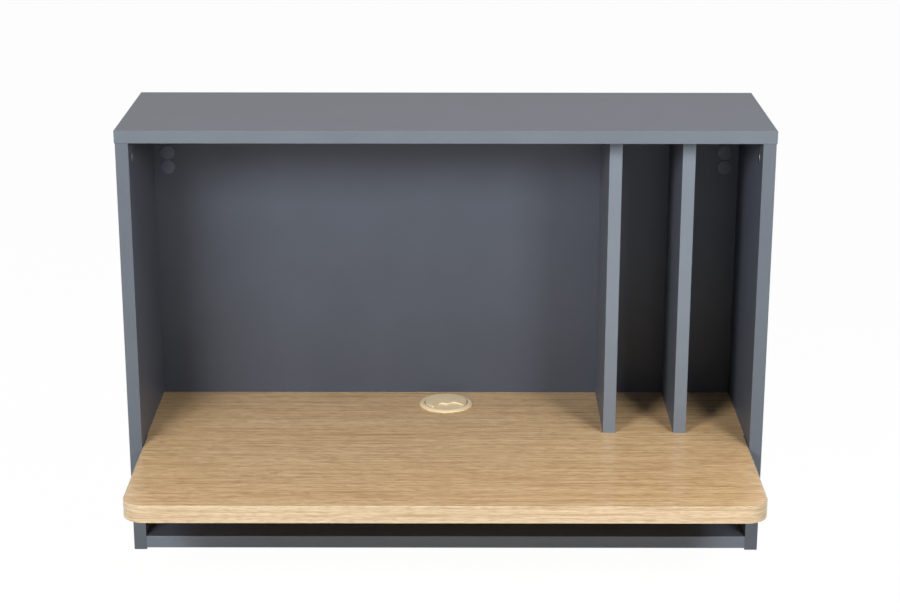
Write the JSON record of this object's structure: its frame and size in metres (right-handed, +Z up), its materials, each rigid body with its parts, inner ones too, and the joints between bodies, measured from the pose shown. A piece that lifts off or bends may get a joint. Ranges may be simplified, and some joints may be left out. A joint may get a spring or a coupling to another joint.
{
  "type": "fold down wall desk",
  "caption": "Wall-hung desk: an open grey board cabinet with upright dividers, a cable outlet and an oak writing leaf that folds up in front of the shelf.",
  "frame": {"origin": "middle of the four wall screws, on the wall's face", "axes": "+X to the right seen from the room, +Y into the wall, +Z up"},
  "size_m": [0.902, 0.4715, 0.618],
  "materials": {
    "grey_board": "melamine faced board, anthracite grey, fine satin",
    "grey_band": "satin plastic edge band, grey",
    "oak_board": "oak faced board, grain along the width, satin lacquer",
    "oak_band": "pale oak edge band, satin",
    "cream_plastic": "moulded cream plastic, satin gloss",
    "grey_cap": "moulded grey plastic",
    "cam_cap": "moulded dark grey plastic, glossy",
    "zinc": "bright zinc plated",
    "steel": "plated steel",
    "brass": "turned brass",
    "beech": "turned beech with glue flutes",
    "rubber": "black rubber"
  },
  "bodies": {
    "carcass": {"top_panel": "grey_board", "left_side_panel": "grey_board", "right_side_panel": "grey_board", "bottom_panel": "grey_board", "back_panel": "grey_board", "left_divider": "grey_board", "right_divider": "grey_board", "top_edge_bands": "grey_band", "side_edge_bands": "grey_band", "bottom_edge_band": "grey_band", "divider_edge_bands": "grey_band", "fixed_shelf": "oak_board", "shelf_lipping": "oak_board", "cable_sleeve": "cream_plastic", "hanger_cover_caps": "grey_cap", "cam_cover_caps": "cam_cap", "cam_locks": "zinc", "left_hanger_housing": "zinc", "right_hanger_housing": "zinc", "left_wall_plate": "zinc", "right_wall_plate": "zinc", "left_hook": "zinc", "right_hook": "zinc", "left_leaf_rest": "zinc", "right_leaf_rest": "zinc", "cam_bolts": "steel", "back_panel_screws": "steel", "divider_lock_screws": "steel", "leaf_rest_screws": "steel", "hanger_screws": "steel", "height_screws": "steel", "depth_screws": "steel", "left_pivot_bush": "brass", "right_pivot_bush": "brass", "wood_dowels": "beech", "leaf_rest_pads": "rubber"},
    "leaf": {"folding_leaf": "oak_board", "leaf_edge_band": "oak_band", "left_pivot_pin": "steel", "right_pivot_pin": "steel"},
    "outlet_lid": {"cable_lid": "cream_plastic"}
  },
  "joints": [
    {"name": "leaf_fold", "type": "hinge", "parent": "carcass", "child": "leaf", "pos_m": [0, -0.222, -0.361], "axis": [-1, 0, 0], "range_deg": [0, 91]},
    {"name": "lid_turn", "type": "hinge", "parent": "carcass", "child": "outlet_lid", "pos_m": [0, -0.0775, -0.3485], "axis": [0, 0, 1], "continuous": true}
  ]
}
